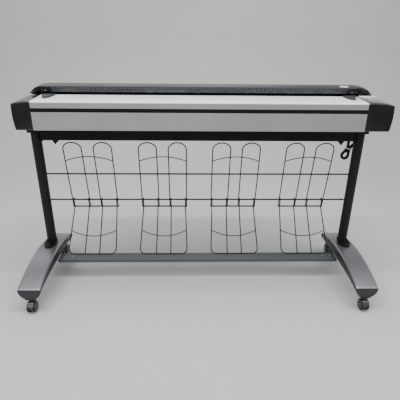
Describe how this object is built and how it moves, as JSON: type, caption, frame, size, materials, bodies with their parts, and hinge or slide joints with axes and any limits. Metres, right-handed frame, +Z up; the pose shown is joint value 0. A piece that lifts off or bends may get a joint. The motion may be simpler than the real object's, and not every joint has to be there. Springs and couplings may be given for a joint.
{
  "type": "large format sheet-feed scanner on wheeled stand",
  "caption": "Wide-format sheet-feed document scanner with hinged lid on a wheeled two-leg stand, with wire catch racks under its feeding side.",
  "frame": {"origin": "on the floor under the middle of the stand and of its overall depth", "axes": "+X along the scanner to the operator's right, +Y from the feeding side to the back, +Z up"},
  "size_m": [1.758, 0.66, 1.042],
  "materials": {
    "foot_metal": "satin metallic grey paint",
    "black_steel": "satin black powder coat",
    "crossbar_paint": "satin blue-black powder coat",
    "wire": "black coated steel wire",
    "caster_body": "grey moulded nylon",
    "caster_tyre": "black rubber",
    "silver_panel": "brushed silver-grey anodised",
    "gloss_strip": "gloss black inlay",
    "white_table": "satin white",
    "cap_plastic": "fine textured black",
    "panel_plastic": "silver-grey moulded",
    "key_plastic": "light grey keys",
    "lid_plastic": "dark grey satin moulding",
    "bare_steel": "plated steel",
    "glass": "clear scan glass",
    "board": "green solder mask",
    "rubber": "black rubber sleeves",
    "white_plate": "white background plate",
    "cord": "black cable jacket",
    "tie": "off-white tie"
  },
  "bodies": {
    "root": {"foot_left": "foot_metal", "foot_right": "foot_metal", "leg_left": "black_steel", "leg_right": "black_steel", "head_bracket_left": "black_steel", "head_bracket_right": "black_steel", "top_beam": "black_steel", "base_pan": "black_steel", "lower_crossbar": "crossbar_paint", "upper_rod": "wire", "middle_rod": "wire", "rack_upper_1": "wire", "rack_upper_2": "wire", "rack_upper_3": "wire", "rack_upper_4": "wire", "front_panel": "silver_panel", "accent_strip": "gloss_strip", "feed_table": "white_table", "left_end_cap": "cap_plastic", "right_end_cap": "cap_plastic", "sensor_bar": "cap_plastic", "socket_box": "cap_plastic", "lead_connector": "cap_plastic", "control_panel": "panel_plastic", "base_deck": "lid_plastic", "side_frame_left": "bare_steel", "side_frame_right": "bare_steel", "power_supply": "bare_steel", "drive_motor": "bare_steel", "scan_glass": "glass", "main_board": "board", "drive_belt": "rubber", "data_lead": "cord", "data_lead_hank": "cord", "lead_tie": "tie"},
    "front_left_swivel": {"caster_front_left_housing": "caster_body"},
    "front_left_wheel": {"caster_front_left_wheels": "caster_tyre"},
    "front_right_swivel": {"caster_front_right_housing": "caster_body"},
    "front_right_wheel": {"caster_front_right_wheels": "caster_tyre"},
    "rear_left_swivel": {"caster_rear_left_housing": "caster_body"},
    "rear_left_wheel": {"caster_rear_left_wheels": "caster_tyre"},
    "rear_right_swivel": {"caster_rear_right_housing": "caster_body"},
    "rear_right_wheel": {"caster_rear_right_wheels": "caster_tyre"},
    "lower_rack_1": {"rack_lower_1": "wire"},
    "lower_rack_2": {"rack_lower_2": "wire"},
    "lower_rack_3": {"rack_lower_3": "wire"},
    "lower_rack_4": {"rack_lower_4": "wire"},
    "lid": {"lid_shell": "lid_plastic", "lid_guide": "cap_plastic", "pressure_plate": "white_plate"},
    "front_press": {"front_pressure_roller": "rubber"},
    "rear_press": {"rear_pressure_roller": "rubber"},
    "front_roller": {"front_drive_roller": "rubber"},
    "rear_roller": {"rear_drive_roller": "rubber"},
    "motor_shaft": {"motor_pulley": "bare_steel"},
    "left_latch": {"latch_button_left": "lid_plastic"},
    "right_latch": {"latch_button_right": "lid_plastic"},
    "power_button": {"power_key": "key_plastic"},
    "copy_button": {"copy_key": "key_plastic"}
  },
  "joints": [
    {"name": "front_left_swivel_turn", "type": "hinge", "parent": "root", "child": "front_left_swivel", "pos_m": [-0.824, -0.28, 0.06], "axis": [0, 0, 1], "continuous": true},
    {"name": "front_left_wheel_roll", "type": "hinge", "parent": "front_left_swivel", "child": "front_left_wheel", "pos_m": [-0.824, -0.3015, 0.028], "axis": [1, 0, 0], "continuous": true},
    {"name": "front_right_swivel_turn", "type": "hinge", "parent": "root", "child": "front_right_swivel", "pos_m": [0.824, -0.28, 0.06], "axis": [0, 0, 1], "continuous": true},
    {"name": "front_right_wheel_roll", "type": "hinge", "parent": "front_right_swivel", "child": "front_right_wheel", "pos_m": [0.824, -0.3015, 0.028], "axis": [1, 0, 0], "continuous": true},
    {"name": "rear_left_swivel_turn", "type": "hinge", "parent": "root", "child": "rear_left_swivel", "pos_m": [-0.824, 0.232, 0.06], "axis": [0, 0, 1], "continuous": true},
    {"name": "rear_left_wheel_roll", "type": "hinge", "parent": "rear_left_swivel", "child": "rear_left_wheel", "pos_m": [-0.824, 0.2535, 0.028], "axis": [1, 0, 0], "continuous": true},
    {"name": "rear_right_swivel_turn", "type": "hinge", "parent": "root", "child": "rear_right_swivel", "pos_m": [0.824, 0.232, 0.06], "axis": [0, 0, 1], "continuous": true},
    {"name": "rear_right_wheel_roll", "type": "hinge", "parent": "rear_right_swivel", "child": "rear_right_wheel", "pos_m": [0.824, 0.2535, 0.028], "axis": [1, 0, 0], "continuous": true},
    {"name": "lower_rack_1_lift", "type": "hinge", "parent": "root", "child": "lower_rack_1", "pos_m": [-0.56145, 0.092, 0.432], "axis": [-1, 0, 0], "range_deg": [0, 60]},
    {"name": "lower_rack_2_lift", "type": "hinge", "parent": "root", "child": "lower_rack_2", "pos_m": [-0.18715, 0.092, 0.432], "axis": [-1, 0, 0], "range_deg": [0, 60]},
    {"name": "lower_rack_3_lift", "type": "hinge", "parent": "root", "child": "lower_rack_3", "pos_m": [0.18715, 0.092, 0.432], "axis": [-1, 0, 0], "range_deg": [0, 60]},
    {"name": "lower_rack_4_lift", "type": "hinge", "parent": "root", "child": "lower_rack_4", "pos_m": [0.56145, 0.092, 0.432], "axis": [-1, 0, 0], "range_deg": [0, 60]},
    {"name": "lid_open", "type": "hinge", "parent": "root", "child": "lid", "pos_m": [0, 0.3215, 0.9965], "axis": [-1, 0, 0], "range_deg": [0, 48]},
    {"name": "motor_turn", "type": "hinge", "parent": "root", "child": "motor_shaft", "pos_m": [-0.76, 0.154, 0.925], "axis": [1, 0, 0], "continuous": true},
    {"name": "front_roller_turn", "type": "hinge", "parent": "root", "child": "front_roller", "pos_m": [0, 0.072, 0.9907], "axis": [1, 0, 0], "continuous": true},
    {"name": "rear_roller_turn", "type": "hinge", "parent": "root", "child": "rear_roller", "pos_m": [0, 0.236, 0.9907], "axis": [1, 0, 0], "continuous": true},
    {"name": "front_press_turn", "type": "hinge", "parent": "lid", "child": "front_press", "pos_m": [0, 0.072, 1.0073], "axis": [1, 0, 0], "continuous": true},
    {"name": "rear_press_turn", "type": "hinge", "parent": "lid", "child": "rear_press", "pos_m": [0, 0.236, 1.0073], "axis": [1, 0, 0], "continuous": true},
    {"name": "left_latch_press", "type": "slide", "parent": "root", "child": "left_latch", "axis": [0, 0, -1], "range_m": [0, 0.003], "stiffness_N_per_m": 400},
    {"name": "right_latch_press", "type": "slide", "parent": "root", "child": "right_latch", "axis": [0, 0, -1], "range_m": [0, 0.003], "stiffness_N_per_m": 400},
    {"name": "power_key_press", "type": "slide", "parent": "root", "child": "power_button", "axis": [0, 0, -1], "range_m": [0, 0.0008], "stiffness_N_per_m": 500},
    {"name": "copy_key_press", "type": "slide", "parent": "root", "child": "copy_button", "axis": [0, 0, -1], "range_m": [0, 0.0008], "stiffness_N_per_m": 500}
  ],
  "couplings": [
    {"joint": "rear_roller_turn", "follows": "front_roller_turn", "ratio": 1},
    {"joint": "motor_turn", "follows": "front_roller_turn", "ratio": 1.2889},
    {"joint": "front_press_turn", "follows": "front_roller_turn", "ratio": -1.2857},
    {"joint": "rear_press_turn", "follows": "front_roller_turn", "ratio": -1.2857}
  ]
}
